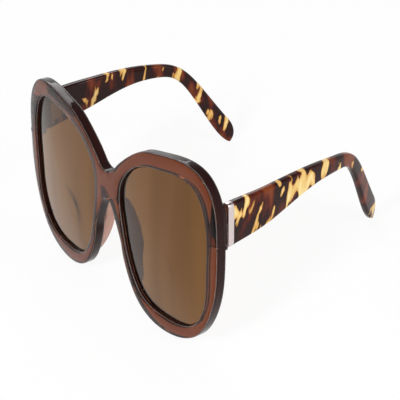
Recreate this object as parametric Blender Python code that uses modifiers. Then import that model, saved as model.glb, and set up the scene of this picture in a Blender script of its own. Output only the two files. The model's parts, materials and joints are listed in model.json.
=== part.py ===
# Oversized butterfly sunglasses: a moulded front, two tinted lenses, bonded nose pads,
# five-knuckle hinges sunk into the plastic, and tortoise temples with capped ends.
# Metres, +Z up. The wearer looks along -Y and the wearer's left is +X.

import math

import bmesh
import bpy
import numpy as np
from mathutils import Matrix, Vector

# Front: driving dimensions
front_width = 0.1410
bridge_gap = 0.0200
opening_width = 0.0547
opening_height = 0.0656
front_thickness = 0.0051
endpiece_block_rise = 0.0005
endpiece_block_inset = 0.0001
wrap_radius = 0.570
upright_radius = 1.430
face_crown = 0.0002

# Rim widths outside the opening, from the nose over the brow and round the lens
brow_rim_width = 0.0054
top_rim_width = 0.0067
corner_rim_width = 0.0080
temporal_rim_width = 0.0062
lower_temporal_rim_width = 0.0046
lower_corner_rim_width = 0.0048
bottom_rim_width = 0.0068
lower_nasal_rim_width = 0.0047
nasal_rim_width = 0.0036
endpiece_corner_height = 0.0285
endpiece_corner_inset = 0.0015

# Bridge
bridge_top_height = 0.0190
bridge_arch_height = 0.0065
brow_shoulder_width = 0.0079
brow_shoulder_height = 0.0243
bridge_flat_width = 0.0030
bridge_flat_rise = 0.0007
arch_shoulder_width = 0.0052
arch_shoulder_height = 0.0006
arch_flat_width = 0.0022
arch_flat_drop = 0.0008

# Rim edges and lens groove
inner_edge_radius = 0.0010
outer_face_edge_radius = 0.0007
outer_back_edge_radius = 0.0013
groove_depth = 0.0009
groove_half_width = 0.0009
groove_from_face = 0.0024
round_cut_share = 0.29

# Lens
lens_gap = 0.0004
lens_edge_inset = 0.00035
lens_bulge = 0.0018
lens_centre_extra_thickness = 0.0003
reading_zone_drop = 0.0125
reading_zone_inset = 0.0020
reading_zone_radius = 0.0120
reading_zone_height = 0.0003

# Nose pads, bonded to the back of the rims
pad_height = 0.0066
pad_gap = 0.0003
pad_edge_inset = 0.0005
pad_crest_half_width = 0.0011
pad_lean = 0.0016

# Hinge: five knuckles on one screw
hinge_height = 0.0199
knuckle_radius = 0.0017
knuckle_length = 0.0017
knuckle_count = 5
knuckle_gap = 0.0003
web_inset = 0.0001
knuckle_bore_radius = 0.00085
running_gap = 0.0003
leaf_thickness = 0.0010
front_leaf_width = 0.0036
front_leaf_wall = 0.0018
temple_leaf_length = 0.0070
leaf_edge_radius = 0.0004
screw_radius = 0.0006
screw_head_radius = 0.0013
screw_head_height = 0.0007
screw_slot_width = 0.0004
screw_slot_depth = 0.00035

# Temple
temple_reach = 0.0940
temple_thickness = 0.0038
tip_thickness = 0.0030
temple_height = 0.0183
temple_waist_height = 0.0057
tip_height = 0.0088
temple_edge_radius = 0.0012
temple_slope = math.radians(-4.0)
tail_drop = 0.0422
tail_turn_in = 0.0076
tail_twist = math.radians(18)
toe_in = 0.0081
temple_side_inset = 0.0002
tip_round_length = 0.0054
straight_end_length = 0.0130

# End cap and core wire
cap_wall = 0.0008
cap_length = 0.0026
cap_fit_gap = 0.0003
core_width = 0.0022
core_thickness = 0.0010
core_fit_gap = 0.0003
core_from_outside = 0.0017
core_end_clearance = 0.0150
core_start_inset = 0.0016

overrun = 0.0020
weld_distance = 0.00001
empty_size = 0.0070

# Steps round each form
stations_per_span = 6
bridge_stations = 5
bridge_curve_stations = 5
lens_steps_per_span = 4
endpiece_block_steps = 8
endpiece_samples = 60
temple_stations = 46
core_stations = 24
pad_stations = 15
round_steps = 22
bevel_steps = 2
tip_round_steps = 7
lean_rounds = 8
mirrored_point_count = 3
sharp_angle = math.radians(30)

# Lens opening: points on its edge from the nasal top corner over the brow and round,
# as shares of half the opening's width and height about its centre
opening_shares = (
    (-0.985, 0.485),
    (-0.577, 0.868),
    (-0.015, 1.00),
    (0.71, 0.985),
    (0.99, 0.48),
    (0.985, 0.00),
    (0.95, -0.447),
    (0.635, -0.88),
    (0.00, -0.99),
    (-0.56, -0.86),
    (-0.86, -0.40),
    (-0.97, 0.00),
)
bridge_flat_place_share = 0.16
brow_shoulder_place_share = 0.5
endpiece_corner_place_share = 0.55
arch_shoulder_place_share = 0.12
arch_flat_place_share = 0.28
arch_place_share = 0.38

# Rings of the lens from its centre, as shares of its radius
lens_ring_shares = (0.2, 0.42, 0.62, 0.8, 0.92, 1.0)

# Temple: height and sideways bend along its reach, as shares
height_place_shares = (0.00, 0.12, 0.255, 0.405, 0.545, 0.68, 0.785, 0.88, 0.95, 1.00)
height_taper_shares = (1.00, 0.86, 0.63, 0.33, 0.12, 0.02, 0.00, 0.00, 0.00, 0.00)
tip_swell_shares = (0.00, 0.00, 0.00, 0.00, 0.00, 0.00, 0.06, 0.52, 0.90, 1.00)
drop_place_shares = (0.00, 0.13, 0.30, 0.48, 0.62, 0.745, 0.85, 0.935, 1.00)
drop_shares = (0.00, 0.00, 0.00, 0.013, 0.055, 0.175, 0.495, 0.795, 1.00)
toe_shares = (0.00, 0.00, 0.12, 0.34, 0.61, 0.94, 1.12, 1.25, 1.34)
turn_in_shares = (0.00, 0.00, 0.00, 0.00, 0.00, 0.12, 0.44, 0.75, 1.00)

# Nose pad along the rim: start and end place, and rise along it, as shares
pad_start_place_share = 0.968
pad_end_place_share = 0.765
pad_rise_power_share = 0.55
pad_waist_share = 0.5
pad_shoulder_share = 0.86

# Largest corner radius and the blunting of the temple tip, as shares of the section
radius_limit_share = 0.8
tip_end_share = 0.35
tip_skew_share = 0.6

# Where along the temple its tail starts to twist, and over what length, as shares of its reach
twist_start_share = 0.62
twist_length_share = 0.26
tip_thinning_share = 0.35

# Slots of a rim slice: the face's outer end and the back's outer end
face_slot = 4
back_slot = 9

# Spans of the opening beside the endpiece, from the upper corner down
endpiece_first_span = 3
endpiece_last_span = 6

opening_centre_x = (bridge_gap + opening_width) / 2
opening_span_count = len(opening_shares)
arch_place = opening_span_count - 1 + arch_place_share
barrel_length = knuckle_count * knuckle_length + (knuckle_count - 1) * knuckle_gap
axis_offset = knuckle_radius + running_gap
endpiece_x = front_width / 2
temple_outer_x = endpiece_x - temple_side_inset
temple_inner_x = temple_outer_x - temple_thickness
hinge_x = temple_inner_x - axis_offset
front_leaf_x = endpiece_x - front_leaf_wall - front_leaf_width / 2


def smooth_step(value):
    bounded = min(max(value, 0), 1)
    return bounded * bounded * (3 - 2 * bounded)


def spline_slopes(knots, points, closed):
    # Slopes that give the curve one steady bend through every point
    count = len(points)
    gaps = np.diff(knots)
    matrix = np.zeros((count, count))
    target = np.zeros((count, points.shape[1]))
    for i in range(count):
        last = (i - 1) % count
        following = (i + 1) % count
        if closed or 0 < i < count - 1:
            before = 1 / gaps[i - 1]
            after = 1 / gaps[i % len(gaps)]
            matrix[i, last] += before
            matrix[i, i] += 2 * (before + after)
            matrix[i, following] += after
            rise_before = (points[i] - points[last]) * before * before
            rise_after = (points[following] - points[i]) * after * after
            target[i] = 3 * (rise_before + rise_after)
        elif i == 0:
            matrix[i, 0] = 2
            matrix[i, 1] = 1
            target[i] = 3 * (points[1] - points[0]) / gaps[0]
        else:
            matrix[i, i] = 2
            matrix[i, i - 1] = 1
            target[i] = 3 * (points[i] - points[i - 1]) / gaps[i - 1]
    return np.linalg.solve(matrix, target)


def spline(knots, points, places, closed=False):
    # Points on a smooth curve through the given ones, at the given places along the knots
    knots = np.asarray(knots, float)
    points = np.asarray(points, float)
    if points.ndim == 1:
        points = points[:, None]
    slopes = spline_slopes(knots, points, closed)
    found = []
    for place in np.atleast_1d(places):
        if closed:
            place = knots[0] + (place - knots[0]) % (knots[-1] - knots[0])
        i = int(np.clip(np.searchsorted(knots, place, side="right") - 1, 0, len(knots) - 2))
        j = (i + 1) % len(points)
        gap = knots[i + 1] - knots[i]
        t = (place - knots[i]) / gap
        near = (1 + 2 * t) * (1 - t) ** 2 * points[i] + t * t * (3 - 2 * t) * points[j]
        turn = t * (1 - t) ** 2 * slopes[i] - t * t * (1 - t) * slopes[j]
        found.append(near + gap * turn)
    return np.array(found)


def opening_points():
    half = np.array([opening_width / 2, opening_height / 2])
    centre = np.array([opening_centre_x, 0])
    return np.array(opening_shares) * half + centre


def opening_at(places):
    knots = range(opening_span_count + 1)
    return spline(knots, opening_points(), places, closed=True)


def outward_from_opening(places):
    # The opening runs clockwise seen from the front, so its left side faces the rim
    nudge = 1 / round_steps
    along = opening_at(np.asarray(places) + nudge) - opening_at(np.asarray(places) - nudge)
    along /= np.linalg.norm(along, axis=1)[:, None]
    return np.column_stack([-along[:, 1], along[:, 0]])


def outline_knots():
    # Half of the outer outline, from the bridge's top round to the nose arch
    spans = [1, 2, 3, 4, 5, 6, 7, 8, 9, 10]
    widths = [
        brow_rim_width,
        top_rim_width,
        corner_rim_width,
        None,
        temporal_rim_width,
        lower_temporal_rim_width,
        lower_corner_rim_width,
        bottom_rim_width,
        lower_nasal_rim_width,
        nasal_rim_width,
    ]
    inner = opening_at(spans)
    away = outward_from_opening(spans)
    places = [0, bridge_flat_place_share, brow_shoulder_place_share]
    points = [
        (0, bridge_top_height),
        (bridge_flat_width, bridge_top_height + bridge_flat_rise),
        (brow_shoulder_width, brow_shoulder_height),
    ]
    for span, width, point, direction in zip(spans, widths, inner, away):
        if width is None:
            corner = (endpiece_x - endpiece_corner_inset, endpiece_corner_height)
            places.append(span - 1 + endpiece_corner_place_share)
            points.append(corner)
            points.append((endpiece_x, point[1] + axis_offset))
        else:
            points.append(tuple(point + direction * width))
        places.append(span)
    places.append(opening_span_count - 1 + arch_shoulder_place_share)
    points.append((arch_shoulder_width, arch_shoulder_height))
    places.append(opening_span_count - 1 + arch_flat_place_share)
    points.append((arch_flat_width, bridge_arch_height - arch_flat_drop))
    places.append(arch_place)
    points.append((0, bridge_arch_height))
    return np.array(places, float), np.array(points)


def outline_at(places):
    # The outline goes on across the mirror plane at both ends, so it crosses it level
    knots, points = outline_knots()
    mirror = np.array([-1, 1])
    reach = mirrored_point_count + 1
    before = points[1:reach][::-1] * mirror
    after = points[-reach:-1][::-1] * mirror
    knots_before = 2 * knots[0] - knots[1:reach][::-1]
    knots_after = 2 * knots[-1] - knots[-reach:-1][::-1]
    all_knots = np.concatenate([knots_before, knots, knots_after])
    all_points = np.vstack([before, points, after])
    return spline(all_knots, all_points, places)


def inward_from_outline(places):
    nudge = 1 / round_steps
    along = outline_at(np.asarray(places) + nudge) - outline_at(np.asarray(places) - nudge)
    along /= np.linalg.norm(along, axis=1)[:, None]
    return np.column_stack([along[:, 1], -along[:, 0]])


def front_depth(x, z):
    # The front follows the face: wrapped round it and slightly curved up and down
    return x * x / (2 * wrap_radius) + z * z / (2 * upright_radius)


def on_front(point, depth):
    return Vector((point[0], front_depth(point[0], point[1]) + depth, point[1]))


seat_depth = front_depth(endpiece_x, hinge_height) + front_thickness + endpiece_block_rise
hinge_y = seat_depth + axis_offset
temple_start_y = seat_depth + running_gap


def section_points(inner, away, outer, inward):
    # One slice through the rim: inner edge, face, outer edge, side, back and lens groove
    thickness = front_thickness
    cut = round_cut_share
    soft = inner_edge_radius
    crisp = outer_face_edge_radius
    blunt = outer_back_edge_radius
    inner_face = inner + away * soft
    outer_face = outer + inward * crisp
    outer_back = outer + inward * blunt
    middle = (inner_face + outer_face) / 2
    return [
        (inner, soft),
        (inner + away * soft * cut, soft * cut),
        (inner_face, 0),
        (middle, -face_crown),
        (outer_face, 0),
        (outer + inward * crisp * cut, crisp * cut),
        (outer, crisp),
        (outer, thickness - blunt),
        (outer + inward * blunt * cut, thickness - blunt * cut),
        (outer_back, thickness),
        (inner_face, thickness),
        (inner + away * soft * cut, thickness - soft * cut),
        (inner, thickness - soft),
        (inner, groove_from_face + groove_half_width),
        (inner + away * groove_depth, groove_from_face),
        (inner, groove_from_face - groove_half_width),
    ]


def new_object(name, bm, collection):
    mesh = bpy.data.meshes.new(name)
    bmesh.ops.recalc_face_normals(bm, faces=bm.faces[:])
    bm.to_mesh(mesh)
    bm.free()
    obj = bpy.data.objects.new(name, mesh)
    collection.objects.link(obj)
    return obj


def bake(obj):
    # Keeps the shape that the modifiers give and drops the modifiers
    depsgraph = bpy.context.evaluated_depsgraph_get()
    mesh = bpy.data.meshes.new_from_object(obj.evaluated_get(depsgraph))
    mesh.name = obj.name
    obj.modifiers.clear()
    obj.data = mesh
    return obj


def cut_away(obj, cutters):
    for cutter in cutters:
        modifier = obj.modifiers.new("cut", "BOOLEAN")
        modifier.operation = "DIFFERENCE"
        modifier.object = cutter


def make_box(name, low, high, collection):
    bm = bmesh.new()
    bmesh.ops.create_cube(bm, size=1)
    size = Vector(high) - Vector(low)
    bmesh.ops.scale(bm, vec=size, verts=bm.verts)
    bmesh.ops.translate(bm, vec=(Vector(low) + Vector(high)) / 2, verts=bm.verts)
    return new_object(name, bm, collection)


def make_rod(name, radius, low, high, collection):
    # A round bar standing on the hinge axis, between two heights
    bm = bmesh.new()
    bmesh.ops.create_cone(
        bm,
        cap_ends=True,
        segments=round_steps,
        radius1=radius,
        radius2=radius,
        depth=high - low,
    )
    bmesh.ops.translate(bm, vec=(hinge_x, hinge_y, (low + high) / 2), verts=bm.verts)
    return new_object(name, bm, collection)


def join_shapes(obj, others):
    for other in others:
        modifier = obj.modifiers.new("join", "BOOLEAN")
        modifier.operation = "UNION"
        modifier.object = other


def loft(name, rings, collection, caps=True):
    bm = bmesh.new()
    made = []
    for ring in rings:
        made.append([bm.verts.new(point) for point in ring])
    count = len(made[0])
    for near, far in zip(made, made[1:]):
        for i in range(count):
            j = (i + 1) % count
            bm.faces.new((near[i], near[j], far[j], far[i]))
    if caps:
        bm.faces.new(made[0])
        bm.faces.new(made[-1])
    return new_object(name, bm, collection)


def make_front(collection):
    # Half of the front as slices round the opening, open at the mirror plane
    last_span = opening_span_count - 2
    bridge_end = np.linspace(0, 1, bridge_curve_stations + stations_per_span + 1)
    arch_end = np.linspace(last_span, arch_place, bridge_curve_stations + 2 * stations_per_span)
    middle_places = np.linspace(1, last_span, (last_span - 1) * stations_per_span + 1)
    main_places = np.concatenate([bridge_end, middle_places[1:-1], arch_end])
    bridge_places = np.linspace(arch_place, opening_span_count, bridge_stations + 2)[1:-1]
    inner = opening_at(main_places)
    away = outward_from_opening(main_places)
    outer = outline_at(main_places)
    inward = inward_from_outline(main_places)
    for end, direction in ((0, -1), (-1, 1)):
        outer[end][0] = 0
        inward[end] = (0, direction)
    rings = []
    for i, place in enumerate(main_places):
        section = section_points(inner[i], away[i], outer[i], inward[i])
        rings.append([on_front(point, depth) for point, depth in section])
    bm = bmesh.new()
    made = [[bm.verts.new(point) for point in ring] for ring in rings]
    slot_count = len(rings[0])
    bridge_inner = opening_at(bridge_places)
    bridge_away = outward_from_opening(bridge_places)
    for i, place in enumerate(bridge_places):
        share = (i + 1) / (bridge_stations + 1)
        ring = []
        edge = np.array([0, 0])
        section = section_points(bridge_inner[i], bridge_away[i], edge, edge)
        for slot, (point, depth) in enumerate(section):
            if face_slot < slot < back_slot:
                ring.append(None)
                continue
            if slot in (face_slot, back_slot):
                low = rings[-1][slot].z
                high = rings[0][slot].z
                point = (0, low + (high - low) * share)
            ring.append(bm.verts.new(on_front(point, depth)))
        made.append(ring)
    for near, far in zip(made, made[1:] + made[:1]):
        for i in range(slot_count):
            j = (i + 1) % slot_count
            corners = (near[i], near[j], far[j], far[i])
            if None in corners or is_bridge_side(near, far, i):
                continue
            bm.faces.new(corners)
    front = new_object("front_frame", bm, collection)
    mirror = front.modifiers.new("both sides", "MIRROR")
    mirror.merge_threshold = weld_distance
    return front


def is_bridge_side(near, far, slot):
    # The outer side stops where the outline reaches the mirror plane
    on_bridge = None in near or None in far
    return on_bridge and face_slot <= slot < back_slot


def make_lens(collection):
    places = np.linspace(0, opening_span_count, opening_span_count * lens_steps_per_span + 1)
    places = places[:-1]
    edge = opening_at(places)
    away = outward_from_opening(places)
    centre = np.array([opening_centre_x, 0])
    reading_centre = centre + np.array([-reading_zone_inset, -reading_zone_drop])
    rim = edge - away * lens_edge_inset
    apex = edge + away * (groove_depth - lens_gap)
    half_edge = lens_edge_inset + groove_depth - lens_gap

    def front_of_lens(share):
        bulge = lens_bulge * (1 - share * share)
        return groove_from_face - half_edge - bulge

    def back_of_lens(point, share):
        swell = lens_centre_extra_thickness * (1 - share * share)
        distance = np.linalg.norm(point - reading_centre) / reading_zone_radius
        swell += reading_zone_height * smooth_step(2 * (1 - distance))
        bulge = lens_bulge * (1 - share * share)
        return groove_from_face + half_edge - bulge + swell

    bm = bmesh.new()

    def ring(share, depth_at):
        made = []
        for point in rim:
            spot = centre + (point - centre) * share
            made.append(bm.verts.new(on_front(spot, depth_at(spot, share))))
        return made

    front_rings = [ring(share, lambda spot, part: front_of_lens(part)) for share in lens_ring_shares]
    back_rings = [ring(share, back_of_lens) for share in lens_ring_shares]
    edge_ring = [bm.verts.new(on_front(point, groove_from_face)) for point in apex]
    layers = front_rings + [edge_ring] + back_rings[::-1]
    count = len(places)
    for near, far in zip(layers, layers[1:]):
        for i in range(count):
            j = (i + 1) % count
            bm.faces.new((near[i], near[j], far[j], far[i]))
    for tip, first in ((on_front(centre, front_of_lens(0)), layers[0]),
                       (on_front(centre, back_of_lens(centre, 0)), layers[-1])):
        hub = bm.verts.new(tip)
        for i in range(count):
            bm.faces.new((hub, first[i], first[(i + 1) % count]))
    return new_object("lens_left", bm, collection)


def make_pad(collection):
    # A leaning fin that grows out of the rim's back and dies away at both ends
    start = opening_span_count * pad_start_place_share
    end = opening_span_count * pad_end_place_share
    places = np.linspace(start, end, pad_stations)
    inner = opening_at(places)
    away = outward_from_opening(places)
    outer = outline_at(np.minimum(places, arch_place))
    rings = []
    for i in range(pad_stations):
        share = i / (pad_stations - 1)
        rise = max(math.sin(math.pi * share), 0) ** pad_rise_power_share
        height = pad_height * rise + pad_gap
        lens_side = inner[i] + away[i] * (inner_edge_radius + pad_edge_inset)
        toward = outer[i] - lens_side
        width = np.linalg.norm(toward)
        toward /= width
        usable = min(width - outer_back_edge_radius - pad_edge_inset, bottom_rim_width)
        nose_side = lens_side + toward * usable
        crest = lens_side - toward * pad_lean * rise + toward * pad_crest_half_width
        floor = front_thickness + pad_gap
        half = toward * min(pad_crest_half_width, usable / 2) * (1 - round_cut_share)
        mid_lens = (lens_side + crest - half) / 2
        mid_nose = (nose_side + crest + half) / 2
        rings.append([
            on_front(lens_side, floor),
            on_front(nose_side, floor),
            on_front(mid_nose + toward * pad_gap * rise, floor + height * pad_waist_share),
            on_front(crest + half, floor + height * pad_shoulder_share),
            on_front(crest, floor + height),
            on_front(crest - half, floor + height * pad_shoulder_share),
            on_front(mid_lens, floor + height * pad_waist_share),
        ])
    return loft("nose_pad_left", rings, collection)


def temple_path(places):
    # Centre of the temple in the front's frame: straight from the hinge, then a dropped tail
    heights = temple_heights(places)
    drop = spline(drop_place_shares, drop_shares, places)[:, 0] * tail_drop
    toe = spline(drop_place_shares, toe_shares, places)[:, 0] * toe_in
    turn = spline(drop_place_shares, turn_in_shares, places)[:, 0] * tail_turn_in
    path = []
    for i, place in enumerate(places):
        along = place * temple_reach
        settle = smooth_step(along / straight_end_length - 1)
        top_edge = temple_height / 2 - along * math.tan(temple_slope)
        middle = top_edge - heights[i] / 2 - drop[i]
        x = temple_outer_x - temple_thickness / 2 - (toe[i] + turn[i]) * settle
        path.append((x, temple_start_y + along, hinge_height + middle))
    return np.array(path)


def temple_heights(places):
    taper = spline(height_place_shares, height_taper_shares, places)[:, 0]
    swell = spline(height_place_shares, tip_swell_shares, places)[:, 0]
    taper_part = (temple_height - temple_waist_height) * taper
    return temple_waist_height + taper_part + (tip_height - temple_waist_height) * swell


def temple_frames(places):
    path = temple_path(places)
    ahead = np.gradient(path, axis=0)
    ahead /= np.linalg.norm(ahead, axis=1)[:, None]
    frames = []
    for i, place in enumerate(places):
        settle = smooth_step(place * temple_reach / straight_end_length)
        level = Vector((0, 1, 0))
        direction = level.lerp(Vector(ahead[i]), settle).normalized()
        level_up = Vector((0, -direction.z, direction.y)).normalized()
        twist = tail_twist * smooth_step((place - twist_start_share) / twist_length_share)
        outward = direction.cross(level_up)
        upward = (level_up * math.cos(twist) - outward * math.sin(twist)).normalized()
        sideways = direction.cross(upward).normalized()
        frames.append((Vector(path[i]), upward, sideways, direction))
    return frames


def rounded_section(centre, upward, sideways, half_height, half_width, radius):
    cut = round_cut_share
    radius = min(radius, half_height * radius_limit_share, half_width * radius_limit_share)
    ring = []
    for up, side in ((1, 1), (-1, 1), (-1, -1), (1, -1)):
        corner = [
            (half_height, half_width - radius),
            (half_height - radius * cut, half_width - radius * cut),
            (half_height - radius, half_width),
        ]
        if up != side:
            corner.reverse()
        for rise, reach in corner:
            ring.append(centre + upward * up * rise + sideways * side * reach)
    return ring


def make_temple_body(collection):
    # Slices closer together at the tip, where the outline rounds off towards its lower edge
    straight_places = np.linspace(0, 1 - tip_round_length / temple_reach, temple_stations)
    round_places = []
    for i in range(1, tip_round_steps + 1):
        angle = math.pi / 2 * i / (tip_round_steps + tip_end_share)
        round_places.append(1 - tip_round_length / temple_reach * (1 - math.sin(angle)))
    places = np.concatenate([straight_places, round_places])
    heights = temple_heights(places)
    frames = temple_frames(places)
    rings = []
    for i, place in enumerate(places):
        centre, upward, sideways, _ = frames[i]
        past_straight = (place * temple_reach - straight_end_length) / temple_reach
        thinning = (temple_thickness - tip_thickness) * smooth_step(past_straight)
        width = temple_thickness - thinning
        past = (place - 1) * temple_reach / tip_round_length + 1
        shrink = math.sqrt(max(1 - max(past, 0) ** 2, 0))
        slim = 1 - (1 - shrink) * tip_thinning_share
        skew = heights[i] / 2 * (1 - shrink) * tip_skew_share
        rings.append(
            rounded_section(
                centre - upward * skew,
                upward,
                sideways,
                heights[i] / 2 * shrink,
                width / 2 * slim,
                temple_edge_radius,
            )
        )
    return loft("temple_left", rings, collection)


def core_rings(width, thickness, start, end):
    places = np.linspace(start, end, core_stations)
    frames = temple_frames(np.linspace(0, 1, temple_stations))
    grid = np.linspace(0, 1, temple_stations)
    offset = temple_thickness / 2 - core_from_outside
    rings = []
    for place in places:
        i = max(min(int(place * (temple_stations - 1)), temple_stations - 2), 0)
        t = (place - grid[i]) * (temple_stations - 1)
        centre = frames[i][0].lerp(frames[i + 1][0], t)
        upward = frames[i][1].lerp(frames[i + 1][1], t).normalized()
        sideways = frames[i][2].lerp(frames[i + 1][2], t).normalized()
        middle = centre + sideways * offset * (1 - smooth_step(place))
        ring = []
        for up, side in ((1, 1), (-1, 1), (-1, -1), (1, -1)):
            ring.append(middle + upward * up * width / 2 + sideways * side * thickness / 2)
        rings.append(ring)
    return rings


def make_temple(collection, cutters):
    temple = make_temple_body(collection)
    end = 1 - core_end_clearance / temple_reach
    channel_end = end + core_fit_gap / temple_reach
    channel = loft(
        "core_channel",
        core_rings(
            core_width + 2 * core_fit_gap,
            core_thickness + 2 * core_fit_gap,
            -overrun / temple_reach,
            channel_end,
        ),
        cutters,
    )
    half = temple_height / 2
    low_z = hinge_height - half
    high_z = hinge_height + half
    cap_back = temple_start_y + cap_length + cap_fit_gap
    around_tenon = make_box(
        "around_tenon",
        (temple_inner_x - overrun, temple_start_y - overrun, low_z - overrun),
        (temple_outer_x + overrun, cap_back, high_z + overrun),
        cutters,
    )
    step = cap_wall + cap_fit_gap
    tenon = make_box(
        "tenon",
        (temple_inner_x - 2 * overrun, temple_start_y + step, low_z + step),
        (temple_outer_x - step, cap_back + overrun, high_z - step),
        cutters,
    )
    cut_away(around_tenon, [tenon])
    recess = make_box(
        "temple_leaf_recess",
        (
            temple_inner_x - overrun,
            temple_start_y - overrun,
            hinge_height - barrel_length / 2 - running_gap,
        ),
        (
            temple_inner_x + leaf_thickness + running_gap,
            hinge_y + temple_leaf_length + running_gap,
            hinge_height + barrel_length / 2 + running_gap,
        ),
        cutters,
    )
    cut_away(temple, [channel, around_tenon, recess])
    return temple


def make_core(collection):
    start = (cap_wall + cap_fit_gap + core_start_inset) / temple_reach
    end = 1 - core_end_clearance / temple_reach
    return loft("core_wire_left", core_rings(core_width, core_thickness, start, end), collection)


def make_cap(collection, cutters):
    places = np.array([0, cap_length / temple_reach])
    rings = []
    heights = temple_heights(places)
    for i, place in enumerate(places):
        middle_z = hinge_height + (temple_height - heights[i]) / 2
        middle_z -= place * temple_reach * math.tan(temple_slope)
        centre = Vector(
            (
                temple_outer_x - temple_thickness / 2,
                temple_start_y + place * temple_reach,
                middle_z,
            )
        )
        rings.append(
            rounded_section(
                centre,
                Vector((0, 0, 1)),
                Vector((1, 0, 0)),
                heights[i] / 2,
                temple_thickness / 2,
                temple_edge_radius,
            )
        )
    cap = loft("end_cap_left", rings, collection)
    half = temple_height / 2 - cap_wall
    pocket = make_box(
        "cap_pocket",
        (temple_inner_x - overrun, temple_start_y + cap_wall, hinge_height - half),
        (temple_outer_x - cap_wall, temple_start_y + overrun + cap_length, hinge_height + half),
        cutters,
    )
    cut_away(cap, [pocket])
    return cap


def knuckle_span(index):
    low = hinge_height - barrel_length / 2 + index * (knuckle_length + knuckle_gap)
    return low, low + knuckle_length


def make_leaf(name, plate_low, plate_high, web_low, web_high, indices, collection, cutters):
    # A sunk plate with its knuckles, each on a short web
    leaf = make_box(name, plate_low, plate_high, collection)
    bevel = leaf.modifiers.new("edges", "BEVEL")
    bevel.width = leaf_edge_radius
    bevel.segments = bevel_steps
    shapes = []
    for index in indices:
        low, high = knuckle_span(index)
        rod = make_rod(name + "_knuckle", knuckle_radius, low, high, cutters)
        web = make_box(
            name + "_web",
            (web_low[0], web_low[1], low + web_inset),
            (web_high[0], web_high[1], high - web_inset),
            cutters,
        )
        shapes.extend([web, rod])
    join_shapes(leaf, shapes)
    reach = barrel_length / 2 + overrun
    bore = make_rod(
        name + "_bore",
        knuckle_bore_radius,
        hinge_height - reach,
        hinge_height + reach,
        cutters,
    )
    cut_away(leaf, [bore])
    return leaf


def make_front_leaf(collection, cutters):
    half = front_leaf_width / 2
    plate_low = (
        front_leaf_x - half,
        seat_depth - leaf_thickness,
        hinge_height - barrel_length / 2,
    )
    plate_high = (front_leaf_x + half, seat_depth, hinge_height + barrel_length / 2)
    web_low = (front_leaf_x - half, seat_depth - leaf_thickness / 2)
    web_high = (hinge_x + knuckle_radius - leaf_edge_radius, hinge_y)
    return make_leaf(
        "front_hinge_left",
        plate_low,
        plate_high,
        web_low,
        web_high,
        range(1, knuckle_count, 2),
        collection,
        cutters,
    )


def make_temple_leaf(collection, cutters):
    plate_low = (
        temple_inner_x,
        temple_start_y + cap_wall + cap_fit_gap,
        hinge_height - barrel_length / 2,
    )
    plate_high = (
        temple_inner_x + leaf_thickness,
        hinge_y + temple_leaf_length,
        hinge_height + barrel_length / 2,
    )
    web_low = (hinge_x, hinge_y - leaf_thickness / 2)
    web_high = (temple_inner_x + leaf_thickness / 2, hinge_y + knuckle_radius)
    return make_leaf(
        "temple_hinge_left",
        plate_low,
        plate_high,
        web_low,
        web_high,
        range(0, knuckle_count, 2),
        collection,
        cutters,
    )


def make_screw(collection, cutters):
    low = hinge_height - barrel_length / 2
    top = hinge_height + barrel_length / 2
    head_low = top + knuckle_gap
    head_high = head_low + screw_head_height
    shank_top = head_low + screw_head_height / 2
    screw = make_rod("hinge_screw_left", screw_radius, low, shank_top, collection)
    head = make_rod("screw_head", screw_head_radius, head_low, head_high, cutters)
    join_shapes(screw, [head])
    slot = make_box(
        "screw_slot",
        (
            hinge_x - screw_head_radius - overrun,
            hinge_y - screw_slot_width / 2,
            head_high - screw_slot_depth,
        ),
        (
            hinge_x + screw_head_radius + overrun,
            hinge_y + screw_slot_width / 2,
            head_high + overrun,
        ),
        cutters,
    )
    cut_away(screw, [slot])
    return screw


def make_endpiece_block(side, collection):
    # A flat seat for the temple's butt, which follows the front's outer edge
    samples = outline_at(np.linspace(endpiece_first_span, endpiece_last_span, endpiece_samples))
    low = hinge_height - temple_height / 2
    high = hinge_height + temple_height / 2
    heights = np.linspace(low, high, endpiece_block_steps)
    edge = np.interp(heights, samples[::-1, 1], samples[::-1, 0]) - endpiece_block_inset
    near_x = front_leaf_x - front_leaf_width / 2 - running_gap - 2 * leaf_edge_radius
    outline = [(near_x, high), (near_x, low)] + list(zip(edge, heights))
    deep = front_depth(hinge_x, hinge_height) + front_thickness - outer_back_edge_radius
    rings = []
    for depth in (deep, seat_depth):
        rings.append([Vector((side * x, depth, z)) for x, z in outline])
    return loft("endpiece_block", rings, collection)


def shape_endpieces(front, cutters):
    # A block on each endpiece's back, with a recess for the hinge leaf
    reach = barrel_length / 2 + running_gap
    for side in (1, -1):
        block = make_endpiece_block(side, cutters)
        bevel = block.modifiers.new("edges", "BEVEL")
        bevel.width = leaf_edge_radius
        bevel.segments = bevel_steps
        join_shapes(front, [block])
        half = front_leaf_width / 2 + running_gap
        recess = make_box(
            "front_leaf_recess",
            sorted_corner(side, front_leaf_x - half, front_leaf_x + half,
                          seat_depth - leaf_thickness - running_gap, hinge_height - reach, 0),
            sorted_corner(side, front_leaf_x - half, front_leaf_x + half,
                          seat_depth + overrun, hinge_height + reach, 1),
            cutters,
        )
        cut_away(front, [recess])


def sorted_corner(side, near_x, far_x, y, z, high):
    ends = sorted((side * near_x, side * far_x))
    return ends[high], y, z


def mirrored(obj, name, collection):
    mesh = obj.data.copy()
    mesh.name = name
    mesh.transform(Matrix.Scale(-1, 4, (1, 0, 0)))
    mesh.flip_normals()
    other = bpy.data.objects.new(name, mesh)
    collection.objects.link(other)
    return other


def plastic(name, colour, roughness, metallic=0):
    material = bpy.data.materials.new(name)
    material.use_nodes = True
    shader = material.node_tree.nodes["Principled BSDF"]
    shader.inputs["Base Color"].default_value = (*colour, 1)
    shader.inputs["Roughness"].default_value = roughness
    shader.inputs["Metallic"].default_value = metallic
    material.diffuse_color = (*colour, 1)
    return material


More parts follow.
